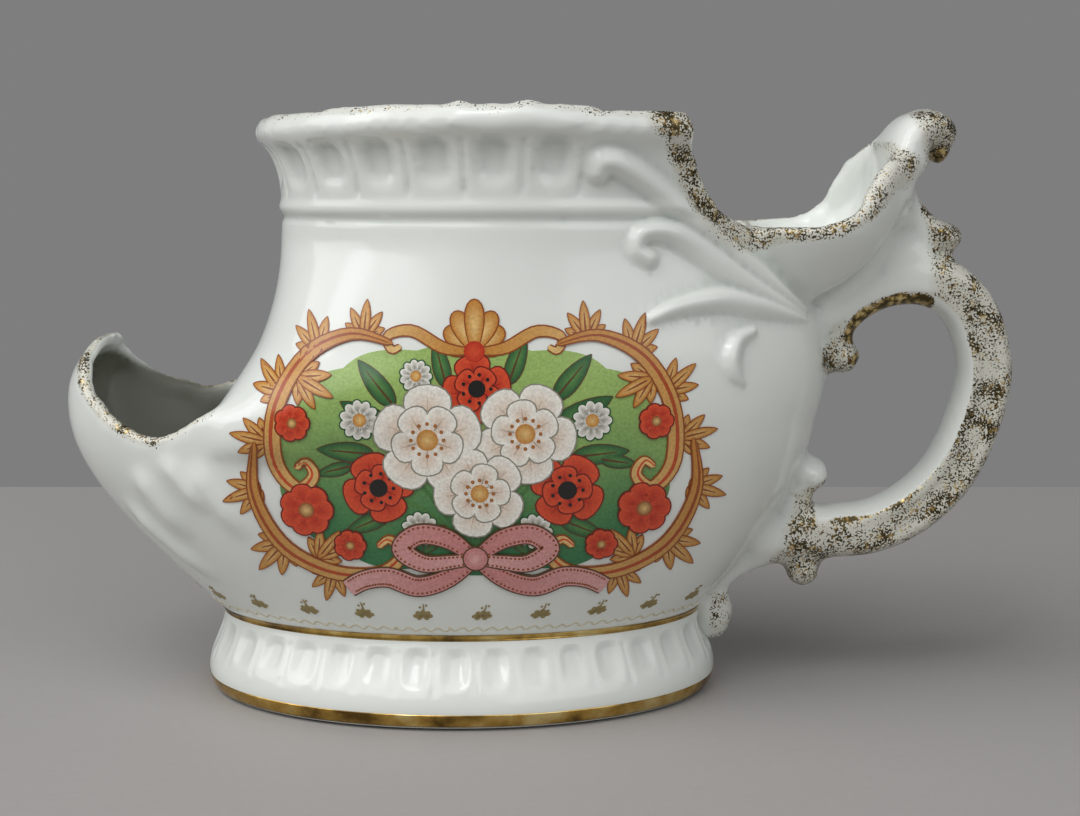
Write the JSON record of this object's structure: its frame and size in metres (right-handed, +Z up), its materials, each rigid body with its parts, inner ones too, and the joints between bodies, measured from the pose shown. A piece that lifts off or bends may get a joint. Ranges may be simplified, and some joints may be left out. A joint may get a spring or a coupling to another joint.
{
  "type": "shaving scuttle",
  "caption": "Porcelain shaving scuttle: oval hot-water mug on a fluted foot, with a scoop spout for the brush, pierced soap tray, brush rest and scrolled loop handle.",
  "frame": {"origin": "on the resting plane of the foot, under the middle of the overall length and depth", "axes": "+Z up, -X toward the scoop spout, +X toward the handle, -Y toward the decorated face"},
  "size_m": [0.1696, 0.066, 0.1043],
  "materials": {
    "porcelain": "glossy white glaze",
    "gilded_porcelain": "glossy white glaze with worn sponged gold"
  },
  "bodies": {
    "root": {"foot_ring": "porcelain", "reservoir": "porcelain", "scoop_spout": "porcelain", "shoulder": "porcelain", "collar": "porcelain", "rim": "gilded_porcelain", "soap_tray": "porcelain", "brush_rest": "porcelain", "rest_horn": "gilded_porcelain", "handle": "gilded_porcelain", "thumb_scroll": "gilded_porcelain", "upper_curl": "gilded_porcelain", "lower_curl": "gilded_porcelain", "lower_knob": "gilded_porcelain", "tail_spur": "gilded_porcelain", "tail_drop": "gilded_porcelain", "long_scroll_near": "porcelain", "long_scroll_far": "porcelain", "short_scroll_near": "porcelain", "short_scroll_far": "porcelain", "shoulder_rib_near": "porcelain", "shoulder_rib_far": "porcelain", "shoulder_drop_near": "porcelain", "shoulder_drop_far": "porcelain"}
  },
  "joints": []
}
